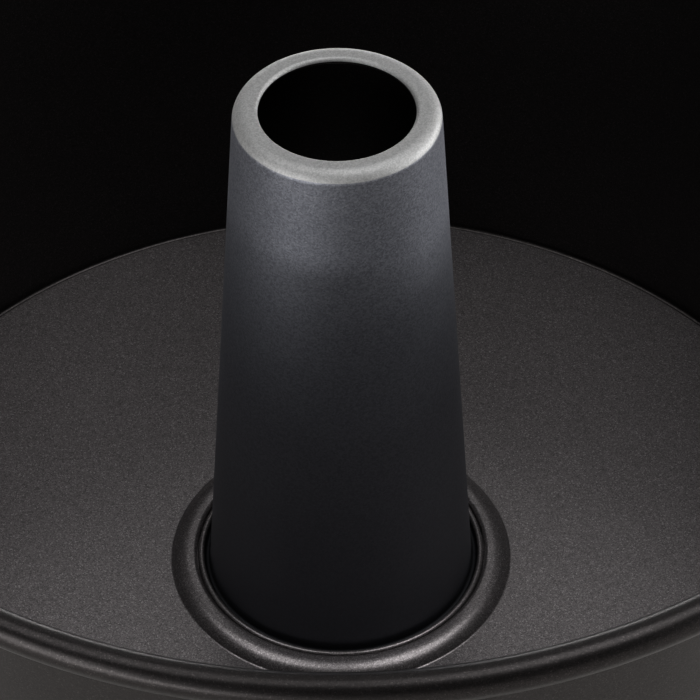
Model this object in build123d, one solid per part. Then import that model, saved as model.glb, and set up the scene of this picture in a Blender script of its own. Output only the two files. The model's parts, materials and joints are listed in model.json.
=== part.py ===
from build123d import *
import os
from math import acos, asin, atan, atan2, cos, degrees, radians, sin, sqrt

# Two-piece angel food cake pan, non-stick steel sheet, in millimetres.
# A tapered outer ring stands on a flat ledge turned in at its foot, and its top edge is rolled
# outwards round a steel wire. A flat loose bottom lies on the ledge. A tall hollow tube is locked
# into the middle of the bottom by a rolled seam, and the two lift out of the ring together.
# The origin is the centre of the foot, on the table, and +Z runs up the tube.

# Overall sizes
rim_diameter = 260.0
body_height = 103.5
disc_diameter = 228.0
tube_height = 128.5
tube_top_diameter = 42.0
tube_base_diameter = 58.4
mouth_diameter = 31.6

# Sheet and wire
body_sheet = 0.7
disc_sheet = 0.6
tube_sheet = 0.6
wire_diameter = 5.0

# Outer ring
ledge_width = 10.0
foot_bend = 0.9
wire_clearance = 0.2
curl_end_gap = 0.3

# Loose bottom: a low ring is raised round the tube, flat on top and rounded down to the plate
disc_side_clearance = 0.4
ring_height = 2.5
ring_flat_width = 1.6
ring_slope_width = 4.4
ring_foot_bend = 0.6

# Tube top
shoulder_radius = 2.8
lip_bend = 0.2
lip_run = 0.6

# Rolled seam between tube and bottom
seam_play = 0.05
groove_width = 1.3
ridge_bend = 0.05
ridge_drop = 0.3
flange_bend = 0.2
crevice_width = 0.3

# Levels and radii that several pieces share
ledge_top = body_sheet
disc_top = ledge_top + disc_sheet
disc_radius = disc_diameter / 2
tube_top = disc_top + tube_height
tube_base_radius = tube_base_diameter / 2
ridge_width = 2 * ridge_bend + 2 * tube_sheet
seam_radius = tube_base_radius + groove_width + ridge_width + crevice_width
ring_flat_radius = seam_radius + ring_flat_width
ring_top = disc_top + ring_height

# The seam is four layers deep: bottom, tube, bottom, tube. These are their middle planes.
layer_pitch = disc_sheet / 2 + seam_play + tube_sheet / 2
ring_mid = ring_top - disc_sheet / 2
tube_hook_mid = ring_mid - layer_pitch
disc_hook_mid = tube_hook_mid - layer_pitch
flange_mid = disc_hook_mid - layer_pitch


def run(length):
    return ("run", length, 0.0)


def bend(middle_radius, turn):
    # A positive turn goes anticlockwise, seen with the radius to the right and the height up.
    return ("bend", middle_radius, turn)


def direction(heading):
    return Vector(cos(radians(heading)), 0.0, sin(radians(heading)))


def straight_between(start_centre, start_radius, end_centre, end_radius):
    # Heading and length of the straight run from one bend to the next. A radius is positive
    # where its bend turns anticlockwise, with the centre on the left of the sheet.
    across = end_centre - start_centre
    offset = end_radius - start_radius
    heading = degrees(atan2(across.Z, across.X) - asin(offset / across.length))
    return heading, sqrt(across.length**2 - offset**2)


def sheet_section(start, heading, thickness, moves):
    # Walks the middle line of a bent sheet and gives the section that lies half the thickness
    # to each side of it, in the plane of radius and height.
    point, half = start, thickness / 2
    left_side, right_side = [], []
    for kind, size, turn in moves:
        normal = direction(heading + 90.0)
        if kind == "run":
            end = point + direction(heading) * size
            left_side.append(Edge.make_line(point + normal * half, end + normal * half))
            right_side.append(Edge.make_line(point - normal * half, end - normal * half))
        else:
            side = 1.0 if turn > 0 else -1.0
            centre = point + normal * (side * size)
            stations = [(heading + share * turn) for share in (0.0, 0.5, 1.0)]
            for edges, offset in ((left_side, half), (right_side, -half)):
                reach = size - side * offset
                arc = [centre - direction(s + 90.0) * (side * reach) for s in stations]
                edges.append(Edge.make_three_point_arc(*arc))
            end = centre - direction(stations[-1] + 90.0) * (side * size)
            heading = stations[-1]
        point = end
    first_cap = Edge.make_line(left_side[0] @ 0, right_side[0] @ 0)
    last_cap = Edge.make_line(left_side[-1] @ 1, right_side[-1] @ 1)
    return Face(Wire(left_side + right_side + [first_cap, last_cap]))


def spun(section, label, colour):
    solid = revolve(section, axis=Axis.Z, revolution_arc=360.0)
    solid.label = label
    solid.color = Color(*colour)
    return solid


# Outer ring: ledge, foot bend, tapered wall, then a curl that closes round the wire.
curl_radius = wire_diameter / 2 + wire_clearance + body_sheet / 2
bead_radius = curl_radius + body_sheet / 2
curl_centre = Vector(rim_diameter / 2 - bead_radius, 0.0, body_height - bead_radius)
coating_grey = (0.27, 0.27, 0.28)
wire_grey = (0.6, 0.6, 0.6)


def make_pan_body():
    foot_radius = foot_bend + body_sheet / 2
    foot_centre = Vector(disc_radius + disc_side_clearance, 0.0, body_sheet / 2 + foot_radius)
    wall_heading, wall_run = straight_between(foot_centre, foot_radius, curl_centre, -curl_radius)
    ledge_start = Vector(disc_radius - ledge_width, 0.0, body_sheet / 2)
    stop_short = degrees(acos(1.0 - (body_sheet + curl_end_gap) / curl_radius))
    moves = [
        run(foot_centre.X - ledge_start.X),
        bend(foot_radius, wall_heading),
        run(wall_run),
        bend(curl_radius, stop_short - 360.0),
    ]
    return spun(sheet_section(ledge_start, 0.0, body_sheet, moves), "pan_body", coating_grey)


def make_rim_wire():
    section = Face(Wire(Edge.make_circle(wire_diameter / 2, Plane(curl_centre, z_dir=(0, -1, 0)))))
    return spun(section, "rim_wire", wire_grey)


# Loose bottom: plate, raised ring, then a hem folded back under the ring's inner edge, which
# hooks over the tube's flange.
def make_base_disc():
    slope_angle = degrees(2 * atan(ring_height / ring_slope_width))
    bends_together = ring_slope_width / sin(radians(slope_angle))
    foot_radius = ring_foot_bend + disc_sheet / 2
    slope_start = ring_flat_radius + ring_slope_width
    hem_centre = seam_radius + layer_pitch + disc_sheet / 2
    moves = [
        run(disc_radius - slope_start),
        bend(foot_radius, -slope_angle),
        bend(bends_together - foot_radius, slope_angle),
        run(ring_flat_radius - hem_centre),
        bend(layer_pitch, 180.0),
        run(ring_flat_radius - seam_play - hem_centre),
    ]
    rim_start = Vector(disc_radius, 0.0, disc_top - disc_sheet / 2)
    return spun(sheet_section(rim_start, 180.0, disc_sheet, moves), "base_disc", coating_grey)


# Tube: its foot is turned out into a groove and a ridge, runs out under the ring's hem and hooks
# back over it. Above, the tapered wall ends in a rounded shoulder and a small lip turned down
# round the open mouth.
def make_centre_tube():
    half = tube_sheet / 2
    hook_start = seam_radius + layer_pitch + disc_sheet / 2 + seam_play
    flange_radius = flange_bend + half
    ridge_radius = ridge_bend + half
    groove_radius = groove_width / 2 + half
    shoulder_mid = shoulder_radius - half
    lip_radius = lip_bend + half
    outer_leg = seam_radius - crevice_width - half
    inner_leg = outer_leg - 2 * ridge_radius
    ridge_centre_z = ring_top - ridge_drop - half - ridge_radius
    groove_centre = Vector(inner_leg - groove_radius, 0.0, flange_mid + groove_radius)
    shoulder_centre = Vector(tube_top_diameter / 2 - shoulder_radius, 0.0, tube_top - shoulder_radius)
    lip_centre_x = mouth_diameter / 2 + half + lip_radius
    wall_heading, wall_run = straight_between(groove_centre, -groove_radius, shoulder_centre, shoulder_mid)
    moves = [
        run(ring_flat_radius - hook_start),
        bend(layer_pitch, -180.0),
        run(ring_flat_radius - outer_leg - flange_radius),
        bend(flange_radius, -90.0),
        run(ridge_centre_z - flange_mid - flange_radius),
        bend(ridge_radius, 180.0),
        run(ridge_centre_z - groove_centre.Z),
        bend(groove_radius, wall_heading - 270.0),
        run(wall_run),
        bend(shoulder_mid, 180.0 - wall_heading),
        run(shoulder_centre.X - lip_centre_x),
        bend(lip_radius, 90.0),
        run(lip_run),
    ]
    start = Vector(hook_start, 0.0, tube_hook_mid)
    return spun(sheet_section(start, 0.0, tube_sheet, moves), "centre_tube", coating_grey)


os.makedirs("parts", exist_ok=True)
for piece in (make_pan_body(), make_rim_wire(), make_base_disc(), make_centre_tube()):
    export_step(piece, f"parts/{piece.label}.step")
    print(piece.label, "volume", round(piece.volume), "mm3")
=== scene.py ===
import json
import math

import bpy
from mathutils import Matrix, Vector


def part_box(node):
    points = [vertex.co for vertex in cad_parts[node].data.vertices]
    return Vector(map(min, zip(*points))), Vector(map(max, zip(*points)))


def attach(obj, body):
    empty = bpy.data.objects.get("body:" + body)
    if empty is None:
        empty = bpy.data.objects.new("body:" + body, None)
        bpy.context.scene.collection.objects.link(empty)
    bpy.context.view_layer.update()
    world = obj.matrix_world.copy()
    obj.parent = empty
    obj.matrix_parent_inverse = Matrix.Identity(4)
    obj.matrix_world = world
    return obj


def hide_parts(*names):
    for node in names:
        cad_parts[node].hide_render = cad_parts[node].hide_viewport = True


# Angel food cake pan: a tapered outer ring with a wired rim, and a loose flat bottom with a tall
# tube locked into its middle. All of it is steel sheet under a dark grey non-stick coating.

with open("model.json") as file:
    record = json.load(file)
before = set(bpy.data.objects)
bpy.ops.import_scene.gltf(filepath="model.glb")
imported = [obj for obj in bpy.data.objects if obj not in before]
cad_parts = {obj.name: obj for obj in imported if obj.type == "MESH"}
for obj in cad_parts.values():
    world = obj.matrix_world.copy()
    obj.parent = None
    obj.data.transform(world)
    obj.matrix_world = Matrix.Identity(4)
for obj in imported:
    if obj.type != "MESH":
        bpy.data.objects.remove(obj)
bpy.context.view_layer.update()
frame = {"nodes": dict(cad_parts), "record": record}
print("frame loaded:", ", ".join(sorted(frame["nodes"])))

mm = 0.001  # the scene is in metres, and the sizes below are in millimetres


def hexToLinear(text):
    # sRGB hex to the linear colour that a shader takes
    channels = [int(text[i:i + 2], 16) / 255 for i in (1, 3, 5)]
    return tuple(c / 12.92 if c <= 0.04045 else ((c + 0.055) / 1.055) ** 2.4 for c in channels) + (1.0,)


def addNode(tree, kind, settings=None, links=None):
    # A setting is an input, by its name or number, or else a property of the node. A colour ramp
    # takes its stops as (position, hex colour).
    node = tree.nodes.new(kind)
    for key, value in (settings or {}).items():
        if key == "stops":
            elements = node.color_ramp.elements
            while len(elements) < len(value):
                elements.new(1.0)
            for element, (position, colour) in zip(elements, value):
                element.position = position
                element.color = hexToLinear(colour)
        elif isinstance(key, int) or key in node.inputs:
            node.inputs[key].default_value = value
        else:
            setattr(node, key, value)
    for socket, source in (links or {}).items():
        tree.links.new(source, node.inputs[socket])
    return node


def leanGrains(tree, grainColour, amount, normal=None):
    # leans the normal a little in each grain, by the grain's random colour
    if normal is None:
        normal = addNode(tree, "ShaderNodeNewGeometry").outputs["Normal"]
    kind = "ShaderNodeVectorMath"
    middle = (0.5, 0.5, 0.5)
    lean = addNode(tree, kind, {"operation": "SUBTRACT", 1: middle}, {0: grainColour})
    tilt = addNode(tree, kind, {"operation": "SCALE", "Scale": amount}, {0: lean.outputs[0]})
    leaned = addNode(tree, kind, {"operation": "ADD"}, {0: normal, 1: tilt.outputs[0]})
    return addNode(tree, kind, {"operation": "NORMALIZE"}, {0: leaned.outputs[0]}).outputs[0]


def newMaterial(name):
    material = bpy.data.materials.new(name)
    material.use_nodes = True
    material.node_tree.nodes.clear()
    return material, material.node_tree


# Bent sheet as it is made: a section walked as straight runs and bends, then turned about Z

def run(length):
    return "run", length, 0.0


def bend(middleRadius, turn):
    # positive turns anticlockwise, seen with the radius to the right and the height up
    return "bend", middleRadius, turn


def aim(heading):
    return Vector((math.cos(math.radians(heading)), math.sin(math.radians(heading))))


def straightBetween(startCentre, startRadius, endCentre, endRadius):
    # heading and length of the straight sheet that joins two bends tangentially
    across = endCentre - startCentre
    offset = endRadius - startRadius
    heading = math.degrees(math.atan2(across.y, across.x) - math.asin(offset / across.length))
    return heading, math.sqrt(across.length ** 2 - offset ** 2)


def sheetOutline(start, heading, thickness, moves, bendStep=6.0, capSteps=6):
    # Closed outline of (point, normal, move, side). The cut edges are rounded over, as a sprayed coat
    # leaves them, and the round end lies inside the length that the moves give.
    half = thickness / 2
    point = start + aim(heading) * half
    moves = list(moves)
    moves[0] = run(moves[0][1] - half)
    if moves[-1][0] == "run":
        moves[-1] = run(moves[-1][1] - half)
    else:
        kind, radius, turn = moves[-1]
        moves[-1] = bend(radius, turn - math.copysign(math.degrees(half / radius), turn))
    left, right = [], []

    def station(at, direction, move):
        side = aim(direction + 90)
        left.append((at + side * half, side, move, "left"))
        right.append((at - side * half, -side, move, "right"))

    station(point, heading, 0)
    for move, (kind, size, turn) in enumerate(moves):
        if kind == "run":
            point = point + aim(heading) * size
            station(point, heading, move)
            continue
        side = math.copysign(1.0, turn)
        centre = point + aim(heading + 90) * (side * size)
        steps = max(2, math.ceil(abs(turn) / bendStep))
        for i in range(1, steps + 1):
            direction = heading + turn * i / steps
            point = centre - aim(direction + 90) * (side * size)
            station(point, direction, move)
        heading += turn

    def cap(at, fromAngle, move):
        spots = [aim(fromAngle - 180 * i / capSteps) for i in range(1, capSteps)]
        return [(at + n * half, n, move, "right") for n in spots]

    startMiddle = (left[0][0] + right[0][0]) / 2
    startHeading = math.degrees(math.atan2(left[0][1].y, left[0][1].x)) - 90
    lastCap = cap(point, heading + 90, len(moves) - 1)
    return left + lastCap + right[::-1] + cap(startMiddle, startHeading - 90, 0)


def latheSheet(name, outline, around, rightFinishes=None, leftFinish=0):
    # Every station has its exact normal, so flat runs stay flat beside the small bends. The right side
    # of the sheet has a finish for each move, and the left side has one.
    verts, normals, faces = [], [], []
    count = len(outline)
    for k in range(around):
        c, s = math.cos(math.tau * k / around), math.sin(math.tau * k / around)
        for point, normal, move, side in outline:
            verts.append((point.x * c * mm, point.x * s * mm, point.y * mm))
            normals.append((normal.x * c, normal.x * s, normal.y))
    for k in range(around):
        a, b = k * count, (k + 1) % around * count
        for i in range(count):
            j = (i + 1) % count
            faces.append((a + i, a + j, b + j, b + i))
    mesh = bpy.data.meshes.new(name)
    mesh.from_pydata(verts, [], faces)
    first = mesh.polygons[0]
    if first.normal.dot(Vector(normals[first.vertices[0]])) < 0:
        mesh.flip_normals()
    mesh.shade_smooth()
    mesh.normals_split_custom_set_from_vertices(normals)
    if rightFinishes:
        zones = [
            rightFinishes[move] if side == "right" else leftFinish
            for point, normal, move, side in outline
        ]
        mesh.polygons.foreach_set("material_index", zones * around)
    piece = bpy.data.objects.new(name, mesh)
    bpy.context.scene.collection.objects.link(piece)
    return piece


def finishPiece(piece, body, node, *materials):
    for material in materials:
        piece.data.materials.append(material)
    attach(piece, body)
    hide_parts(node)
    print("made", piece.name, "with", len(piece.data.polygons), "faces")


# Finishes

nonstick = {
    "roughnessSpread": 0.03,
    "flakeSize": 0.2,  # mm, drawn some ten times coarser than the real flake so that it shows
    "flakeTilt": 0.03,
    "dullShare": 0.93,  # share of the flakes that don't glint
    "peelSize": 1.4,  # mm between the swells that spraying leaves
    "peelDepth": 0.0008,  # mm
    "peelDetail": 2.0,
    "mottleSize": 14.0,  # mm
    "mottleDetail": 4.0,
}
# The ring, the bottom and the tube carry one and the same coat; their different brightness and tint is
# painted light and shade, darkest on the ring and lightest and bluest on the tube
ringCoat = {
    **nonstick,
    "binder": "#2a2828", "flake": "#3a3737", "glint": "#4e4a4a",
    "metallic": 0.9, "roughness": 0.36,
}
bottomCoat = {
    **nonstick,
    "binder": "#5f5b5c", "flake": "#959091", "glint": "#c0babb",
    "metallic": 0.75, "roughness": 0.32,
}
tubeCoat = {
    **nonstick,
    "binder": "#7b7d86", "flake": "#a3a5ae", "glint": "#c6c8d1",
    "metallic": 0.85, "roughness": 0.5,
    "flakeSize": 0.32,
    # painted shade that darkens the tube towards its foot and into the groove: mm above the table, and
    # how much of the colour is left there
    "paintedFootShade": [(1.5, "#202020"), (4.5, "#aeaeae"), (30.0, "#cbcbcb"), (64.0, "#ffffff")],
    "sparkle": (10.0, 110.0, 0.2, 0.9),  # low level, high level, and the share of the sparkle at each
}


def sprayedNonstick(name, finish):
    # Non-stick coating, a dark fluoropolymer paint with fine mica and aluminium flake, sprayed on
    # steel and baked. It is satin, close to black in the shade, silvery where it catches the light,
    # and its flakes give a fine even sparkle. On the tube the spread of the flakes' tone narrows
    # towards the bottom, and the colour is darkened downwards, most of all in the groove at its foot,
    # as painted shade.
    material, tree = newMaterial(name)
    place = addNode(tree, "ShaderNodeTexCoord").outputs["Object"]
    flakes = addNode(
        tree, "ShaderNodeTexVoronoi", {"Scale": 1 / (finish["flakeSize"] * mm)}, {"Vector": place}
    )
    pick = addNode(tree, "ShaderNodeSeparateColor", {}, {"Color": flakes.outputs["Color"]})
    chance = pick.outputs["Red"]
    if "paintedFootShade" in finish:
        height = addNode(tree, "ShaderNodeSeparateXYZ", {}, {"Vector": place}).outputs["Z"]
        low, high, least, most = finish["sparkle"]
        sparkle = addNode(
            tree, "ShaderNodeMapRange",
            {"From Min": low * mm, "From Max": high * mm, "To Min": least, "To Max": most},
            {"Value": height},
        )
        middle = 0.5  # of the range of the random values
        apart = addNode(tree, "ShaderNodeMath", {"operation": "SUBTRACT", 1: middle}, {0: chance})
        chance = addNode(
            tree, "ShaderNodeMath", {"operation": "MULTIPLY_ADD", 2: middle},
            {0: apart.outputs[0], 1: sparkle.outputs["Result"]},
        ).outputs[0]
    stops = [(0.0, finish["binder"]), (finish["dullShare"], finish["flake"]), (1.0, finish["glint"])]
    colour = addNode(tree, "ShaderNodeValToRGB", {"stops": stops}, {"Fac": chance}).outputs["Color"]
    # painted shade: the flake colour is multiplied darker towards the foot of the tube, nearly black in
    # the groove
    if "paintedFootShade" in finish:
        top = finish["paintedFootShade"][-1][0]
        share = addNode(tree, "ShaderNodeMath", {"operation": "DIVIDE", 1: top * mm}, {0: height})
        stops = [(level / top, shade) for level, shade in finish["paintedFootShade"]]
        left = addNode(tree, "ShaderNodeValToRGB", {"stops": stops}, {"Fac": share.outputs[0]})
        colour = addNode(
            tree, "ShaderNodeMix", {"data_type": "RGBA", "blend_type": "MULTIPLY", 0: 1.0},
            {6: colour, 7: left.outputs["Color"]},  # the two colours of a mix, and 2 is what comes out
        ).outputs[2]

    mottle = addNode(
        tree, "ShaderNodeTexNoise",
        {"Scale": 1 / (finish["mottleSize"] * mm), "Detail": finish["mottleDetail"]},
        {"Vector": place},
    )
    satin = addNode(
        tree, "ShaderNodeMapRange",
        {"To Min": finish["roughness"] - finish["roughnessSpread"],
         "To Max": finish["roughness"] + finish["roughnessSpread"]},
        {"Value": mottle.outputs["Fac"]},
    )

    peel = addNode(
        tree, "ShaderNodeTexNoise",
        {"Scale": 1 / (finish["peelSize"] * mm), "Detail": finish["peelDetail"]},
        {"Vector": place},
    )
    swell = addNode(
        tree, "ShaderNodeBump", {"Distance": finish["peelDepth"] * mm}, {"Height": peel.outputs["Fac"]}
    )
    facing = leanGrains(tree, flakes.outputs["Color"], finish["flakeTilt"], swell.outputs["Normal"])
    coat = addNode(
        tree, "ShaderNodeBsdfPrincipled", {"Metallic": finish["metallic"]},
        {"Base Color": colour, "Roughness": satin.outputs["Result"], "Normal": facing},
    )
    addNode(tree, "ShaderNodeOutputMaterial", {}, {"Surface": coat.outputs["BSDF"]})
    return material


drawnWire = {
    "steel": "#a5a29e",
    "die": "#7f7c78",  # in the streaks
    "roughness": 0.38,
    "streakWidth": 0.12,  # mm, drawn coarser than the real streaks so that they show
    "streakDepth": 0.002,  # mm
    "streakDetail": 3.0,
}


def drawnSteelWire(name, finish):
    # Low carbon steel wire pulled through a die: bare grey metal with fine streaks along its length
    material, tree = newMaterial(name)
    place = addNode(tree, "ShaderNodeTexCoord").outputs["Object"]
    split = addNode(tree, "ShaderNodeSeparateXYZ", {}, {"Vector": place})
    flat = addNode(tree, "ShaderNodeCombineXYZ", {}, {"X": split.outputs["X"], "Y": split.outputs["Y"]})
    reach = addNode(tree, "ShaderNodeVectorMath", {"operation": "LENGTH"}, {0: flat.outputs[0]})
    section = addNode(
        tree, "ShaderNodeCombineXYZ", {}, {"X": reach.outputs["Value"], "Y": split.outputs["Z"]}
    )
    streaks = addNode(
        tree, "ShaderNodeTexNoise",
        {"Scale": 1 / (finish["streakWidth"] * mm), "Detail": finish["streakDetail"]},
        {"Vector": section.outputs[0]},
    )
    stops = [(0.0, finish["die"]), (1.0, finish["steel"])]
    tone = addNode(tree, "ShaderNodeValToRGB", {"stops": stops}, {"Fac": streaks.outputs["Fac"]})
    ridges = addNode(
        tree, "ShaderNodeBump", {"Distance": finish["streakDepth"] * mm},
        {"Height": streaks.outputs["Fac"]},
    )
    steel = addNode(
        tree, "ShaderNodeBsdfPrincipled", {"Metallic": 1.0, "Roughness": finish["roughness"]},
        {"Base Color": tone.outputs["Color"], "Normal": ridges.outputs["Normal"]},
    )
    addNode(tree, "ShaderNodeOutputMaterial", {}, {"Surface": steel.outputs["BSDF"]})
    return material


blastedSteel = {
    "pit": "#b2b2b2",
    "steel": "#cccccc",
    "roughness": 0.64,
    "grainSize": 0.25,  # mm, drawn coarser than the real grain so that it shows
    "grainTilt": 0.05,
}


def mattBlastedSteel(name, finish):
    # Bare mild steel, where the coat has been blasted off the mouth of the tube: soft light grey
    # with a broad dull highlight and a fine dense grain
    material, tree = newMaterial(name)
    place = addNode(tree, "ShaderNodeTexCoord").outputs["Object"]
    grains = addNode(
        tree, "ShaderNodeTexVoronoi", {"Scale": 1 / (finish["grainSize"] * mm)}, {"Vector": place}
    )
    pick = addNode(tree, "ShaderNodeSeparateColor", {}, {"Color": grains.outputs["Color"]})
    stops = [(0.0, finish["pit"]), (1.0, finish["steel"])]
    tone = addNode(tree, "ShaderNodeValToRGB", {"stops": stops}, {"Fac": pick.outputs["Red"]})
    facing = leanGrains(tree, grains.outputs["Color"], finish["grainTilt"])
    steel = addNode(
        tree, "ShaderNodeBsdfPrincipled", {"Metallic": 1.0, "Roughness": finish["roughness"]},
        {"Base Color": tone.outputs["Color"], "Normal": facing},
    )
    addNode(tree, "ShaderNodeOutputMaterial", {}, {"Surface": steel.outputs["BSDF"]})
    return material


coatedRing = sprayedNonstick("nonstick_ring", ringCoat)
coatedBottom = sprayedNonstick("nonstick_bottom", bottomCoat)
coatedTube = sprayedNonstick("nonstick_tube", tubeCoat)
bareMouth = mattBlastedSteel("blasted_steel_mouth", blastedSteel)
wireSteel = drawnSteelWire("drawn_steel_wire", drawnWire)
print("finishes made")


# Sizes that the frame gives, in millimetres

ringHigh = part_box("pan_body")[1] / mm
discLow, discHigh = (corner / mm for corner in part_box("base_disc"))
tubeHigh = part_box("centre_tube")[1] / mm
mouth = next(m for m in frame["record"]["mounts"] if m["name"] == "tube_mouth")
mouthRadius = mouth["dims"]["r_mm"]

# Rolled seam between the tube and the loose bottom, which both follow
seam = {
    "play": 0.05,  # between one layer and the next
    "groove": 1.3,
    "ridgeBend": 0.05,
    "ridgeDrop": 0.3,  # the ridge stands this much lower than the raised ring
    "flangeBend": 0.2,
    "crevice": 0.3,
}


# Outer ring: ledge, foot bend, tapered wall, and a curl that closes round the wire

outerRing = {
    "sheet": 0.7,
    "ledge": 10.0,
    "footBend": 0.9,
    "sideGap": 0.4,  # between the loose bottom and the start of the foot bend
    "wire": 5.0,
    "wireGap": 0.2,
    "curlEndGap": 0.3,
    "around": 384,
}


def makeOuterRing(size):
    half = size["sheet"] / 2
    curl = size["wire"] / 2 + size["wireGap"] + half
    foot = size["footBend"] + half
    curlCentre = Vector((ringHigh.x - curl - half, ringHigh.z - curl - half))
    footCentre = Vector((discHigh.x + size["sideGap"], half + foot))
    heading, wall = straightBetween(footCentre, foot, curlCentre, -curl)
    start = Vector((discHigh.x - size["ledge"], half))
    openAngle = math.degrees(math.acos(1 - (size["sheet"] + size["curlEndGap"]) / curl))
    moves = [run(footCentre.x - start.x), bend(foot, heading), run(wall), bend(curl, openAngle - 360)]
    return latheSheet("outerRing", sheetOutline(start, 0, size["sheet"], moves), size["around"])


finishPiece(makeOuterRing(outerRing), "pan", "pan_body", coatedRing)


# Loose bottom: plate, low raised ring round the tube, and a hem folded back under its inner edge

looseBottom = {
    "sheet": 0.6,
    "ringHeight": 2.5,
    "ringFlat": 1.6,
    "ringSlope": 4.4,
    "footBend": 0.6,
    "around": 384,
}
centreTube = {
    "sheet": 0.6,
    "topRadius": 21.0,
    "baseRadius": 29.2,
    "shoulder": 2.8,
    "bareArc": 73.0,  # degrees of the shoulder, from the top, that have lost their coat
    "lipBend": 0.2,
    "lipRun": 0.6,
    "around": 288,
}

ridgeWidth = 2 * (seam["ridgeBend"] + centreTube["sheet"])
seamRadius = centreTube["baseRadius"] + seam["groove"] + ridgeWidth + seam["crevice"]
ringFlatRadius = seamRadius + looseBottom["ringFlat"]
layerPitch = looseBottom["sheet"] / 2 + seam["play"] + centreTube["sheet"] / 2
seamTop = discHigh.z - looseBottom["sheet"] / 2  # middle of the top layer of four
hookLevel = seamTop - layerPitch
flangeLevel = seamTop - 3 * layerPitch


def makeLooseBottom(size):
    half = size["sheet"] / 2
    slope = math.degrees(2 * math.atan(size["ringHeight"] / size["ringSlope"]))
    bothBends = size["ringSlope"] / math.sin(math.radians(slope))
    foot = size["footBend"] + half
    hem = seamRadius + layerPitch + half
    moves = [
        run(discHigh.x - ringFlatRadius - size["ringSlope"]),
        bend(foot, -slope),
        bend(bothBends - foot, slope),
        run(ringFlatRadius - hem),
        bend(layerPitch, 180),
        run(ringFlatRadius - seam["play"] - hem),
    ]
    start = Vector((discHigh.x, discLow.z + half))
    return latheSheet("looseBottom", sheetOutline(start, 180, size["sheet"], moves), size["around"])


finishPiece(makeLooseBottom(looseBottom), "insert", "base_disc", coatedBottom)


# Tube: hook and flange under the hem, ridge, groove, tapered wall, shoulder and turned-down lip

# The seam has the coat of the bottom, and the inside has the darker coat of the ring as painted shade
# down the tube's hole
tubeFinishes = [coatedTube, coatedBottom, bareMouth, coatedRing]


def makeCentreTube(size):
    half = size["sheet"] / 2
    hook = seamRadius + layerPitch + looseBottom["sheet"] / 2 + seam["play"]
    flange = seam["flangeBend"] + half
    ridge = seam["ridgeBend"] + half
    groove = seam["groove"] / 2 + half
    shoulder = size["shoulder"] - half
    lip = size["lipBend"] + half
    outerLeg = seamRadius - seam["crevice"] - half
    innerLeg = outerLeg - 2 * ridge
    ridgeLevel = discHigh.z - seam["ridgeDrop"] - half - ridge
    grooveCentre = Vector((innerLeg - groove, flangeLevel + groove))
    shoulderCentre = Vector((size["topRadius"] - size["shoulder"], tubeHigh.z - size["shoulder"]))
    heading, wall = straightBetween(grooveCentre, -groove, shoulderCentre, shoulder)
    seamMoves = [
        run(ringFlatRadius - hook),
        bend(layerPitch, -180),
        run(ringFlatRadius - outerLeg - flange),
        bend(flange, -90),
        run(ridgeLevel - flangeLevel - flange),
        bend(ridge, 180),
    ]
    wallMoves = [
        run(ridgeLevel - grooveCentre.y),
        bend(groove, heading - 270),
        run(wall),
        bend(shoulder, 180 - heading - size["bareArc"]),
    ]
    mouthMoves = [
        bend(shoulder, size["bareArc"]),
        run(shoulderCentre.x - mouthRadius - half - lip),
        bend(lip, 90),
    ]
    lipMoves = [run(size["lipRun"])]
    moves = seamMoves + wallMoves + mouthMoves + lipMoves
    wallFinish, seamFinish, mouthFinish, insideFinish = range(len(tubeFinishes))
    finishes = [seamFinish] * len(seamMoves) + [wallFinish] * len(wallMoves)
    finishes += [mouthFinish] * len(mouthMoves) + [insideFinish] * len(lipMoves)
    outline = sheetOutline(Vector((hook, hookLevel)), 0, size["sheet"], moves)
    return latheSheet("centreTube", outline, size["around"], finishes, insideFinish)


finishPiece(makeCentreTube(centreTube), "insert", "centre_tube", *tubeFinishes)

# The wire's CAD solid is as round as it needs to be inside its curl, so it only gets its finish
wireNode = frame["nodes"]["rim_wire"]
wireNode.data.materials.clear()
wireNode.data.materials.append(wireSteel)


# Studio: pale paper floor and wall, a soft light at the front left in five tiers that fade upwards,
# low strips at the front, the right and behind, and softboxes behind and overhead

studio = {
    "floorSize": 12.0,
    "paper": "#e6e3df",
    "paperRoughness": 0.9,
    "toothSize": 2.0,  # mm, drawn coarser than the real tooth of the paper
    "toothDepth": 0.01,  # mm
    "floorLift": 0.4,  # share of its own colour that the floor shows to the camera and to glossy rays
    "horizon": 0.4,  # strength of the wall up to the low elevation
    "ambient": 0.02,  # and from the high one upwards
    "low": 6.0,  # degrees
    "high": 16.0,
}
lamps = {
    # azimuth from the front, positive to the right, and elevation, in degrees; distance, width and
    # height, in metres; watts
    "leftTierFloor": (-48, 1.5, 1.0, 0.536, 0.052, 0.67),
    "leftTierLow": (-48, 6, 1.0, 0.533, 0.105, 0.95),
    "leftTierMiddle": (-48, 11.5, 1.0, 0.525, 0.105, 0.69),
    "leftTierHigh": (-48, 18, 1.0, 0.510, 0.140, 0.82),
    "leftTierTop": (-48, 27, 1.0, 0.477, 0.175, 0.24),
    "frontLeftEdge": (-25, 1.5, 1.0, 0.353, 0.052, 1.25),
    "rightEdge": (90, 3, 3.0, 1.6, 0.366, 23.6),
    "rightStrip": (90, 14.5, 3.0, 1.56, 0.9, 17.5),
    "backRightStrip": (120, 6.25, 3.0, 1.6, 0.711, 17.7),
    "backEdge": (180, 3, 3.0, 1.6, 0.366, 18.0),
    "backSoftbox": (180, 48, 1.2, 0.75, 0.51, 0.54),
    "topLeftSoftbox": (-90, 70, 1.2, 0.7, 0.6, 2.7),
    "topRightSoftbox": (90, 70, 1.2, 0.7, 0.6, 4.3),
}
lampAim = Vector((0, 0, 0.05))


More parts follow.
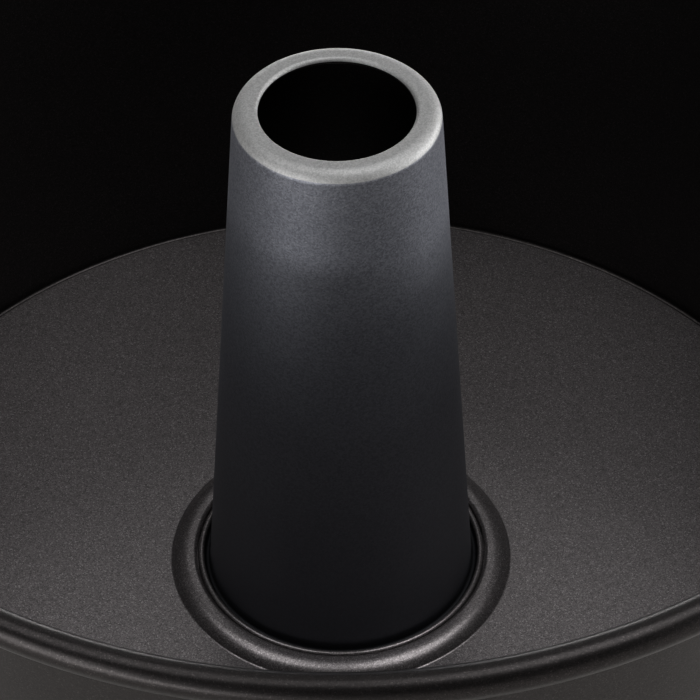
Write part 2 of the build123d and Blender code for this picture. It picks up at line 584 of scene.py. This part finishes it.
def makeFloor():
    # Matte paper sweep: pale, with a barely visible tooth
    half = studio["floorSize"] / 2
    corners = [(-half, -half, 0), (half, -half, 0), (half, half, 0), (-half, half, 0)]
    mesh = bpy.data.meshes.new("floor")
    mesh.from_pydata(corners, [], [(0, 1, 2, 3)])
    floor = bpy.data.objects.new("floor", mesh)
    bpy.context.scene.collection.objects.link(floor)
    material, tree = newMaterial("matte_paper")
    colour = hexToLinear(studio["paper"])
    place = addNode(tree, "ShaderNodeTexCoord").outputs["Object"]
    tooth = addNode(
        tree, "ShaderNodeTexNoise", {"Scale": 1 / (studio["toothSize"] * mm)}, {"Vector": place}
    )
    bump = addNode(
        tree, "ShaderNodeBump", {"Distance": studio["toothDepth"] * mm}, {"Height": tooth.outputs["Fac"]}
    )
    paper = addNode(
        tree, "ShaderNodeBsdfPrincipled", {"Base Color": colour, "Roughness": studio["paperRoughness"]},
        {"Normal": bump.outputs["Normal"]},
    )
    pale = addNode(tree, "ShaderNodeEmission", {"Color": colour})
    rays = addNode(tree, "ShaderNodeLightPath")
    seen = addNode(
        tree, "ShaderNodeMath", {"operation": "MAXIMUM"},
        {0: rays.outputs["Is Camera Ray"], 1: rays.outputs["Is Glossy Ray"]},
    )
    lift = addNode(
        tree, "ShaderNodeMath", {"operation": "MULTIPLY", 1: studio["floorLift"]}, {0: seen.outputs[0]}
    )
    look = addNode(
        tree, "ShaderNodeMixShader", {},
        {0: lift.outputs[0], 1: paper.outputs["BSDF"], 2: pale.outputs["Emission"]},
    )
    addNode(tree, "ShaderNodeOutputMaterial", {}, {"Surface": look.outputs["Shader"]})
    mesh.materials.append(material)


def makeLamp(name, azimuth, elevation, distance, width, height, power):
    azimuth, elevation = math.radians(azimuth), math.radians(elevation)
    away = Vector((math.sin(azimuth), -math.cos(azimuth), 0)) * math.cos(elevation)
    away.z = math.sin(elevation)
    light = bpy.data.lights.new(name, "AREA")
    light.shape = "RECTANGLE"
    light.size, light.size_y, light.energy = width, height, power
    holder = bpy.data.objects.new(name, light)
    holder.location = lampAim + away * distance
    holder.rotation_euler = away.to_track_quat("Z", "Y").to_euler()
    bpy.context.scene.collection.objects.link(holder)


def makeWorld():
    # a pale wall round the horizon that fades upwards into a dark room
    world = bpy.data.worlds.new("studio")
    bpy.context.scene.world = world
    world.use_nodes = True
    room = world.node_tree
    room.nodes.clear()
    outlook = addNode(room, "ShaderNodeTexCoord").outputs["Generated"]
    upward = addNode(room, "ShaderNodeSeparateXYZ", {}, {"Vector": outlook}).outputs["Z"]
    low, high = (math.sin(math.radians(studio[key])) for key in ("low", "high"))
    glow = addNode(
        room, "ShaderNodeMapRange",
        {"From Min": low, "From Max": high, "To Min": studio["horizon"], "To Max": studio["ambient"],
         "interpolation_type": "SMOOTHSTEP"},
        {"Value": upward},
    )
    wall = addNode(
        room, "ShaderNodeBackground", {"Color": hexToLinear(studio["paper"])},
        {"Strength": glow.outputs["Result"]},
    )
    addNode(room, "ShaderNodeOutputWorld", {}, {"Surface": wall.outputs["Background"]})


makeFloor()
for name, place in lamps.items():
    makeLamp(name, *place)
makeWorld()
print("studio lit")


# Camera, from the ellipses of the rim, the bottom and the tube's mouth in the photograph

shot = {
    "at": (0.0, -0.5243, 0.5564),
    "yaw": 0.25,
    "pitch": 43.2,
    "roll": -0.33,
    "focalPixels": 3404.0,
    "frameWidth": 700,
    "sensor": 36.0,
    "clipStart": 0.01,
}


def makeCamera(view):
    yaw, pitch, roll = (math.radians(view[key]) for key in ("yaw", "pitch", "roll"))
    forward = Vector((
        math.sin(yaw) * math.cos(pitch), math.cos(yaw) * math.cos(pitch), -math.sin(pitch)
    ))
    level = Vector((math.cos(yaw), -math.sin(yaw), 0))
    upright = level.cross(forward)
    right = level * math.cos(roll) + upright * math.sin(roll)
    up = upright * math.cos(roll) - level * math.sin(roll)
    data = bpy.data.cameras.new("shot")
    data.sensor_width = view["sensor"]
    data.lens = view["focalPixels"] / view["frameWidth"] * view["sensor"]
    data.clip_start = view["clipStart"]
    camera = bpy.data.objects.new("shot", data)
    turn = Matrix((right, up, -forward)).transposed()
    camera.matrix_world = Matrix.Translation(view["at"]) @ turn.to_4x4()
    bpy.context.scene.collection.objects.link(camera)
    bpy.context.scene.camera = camera


makeCamera(shot)
bpy.context.scene.view_settings.view_transform = "Standard"
print("camera set")
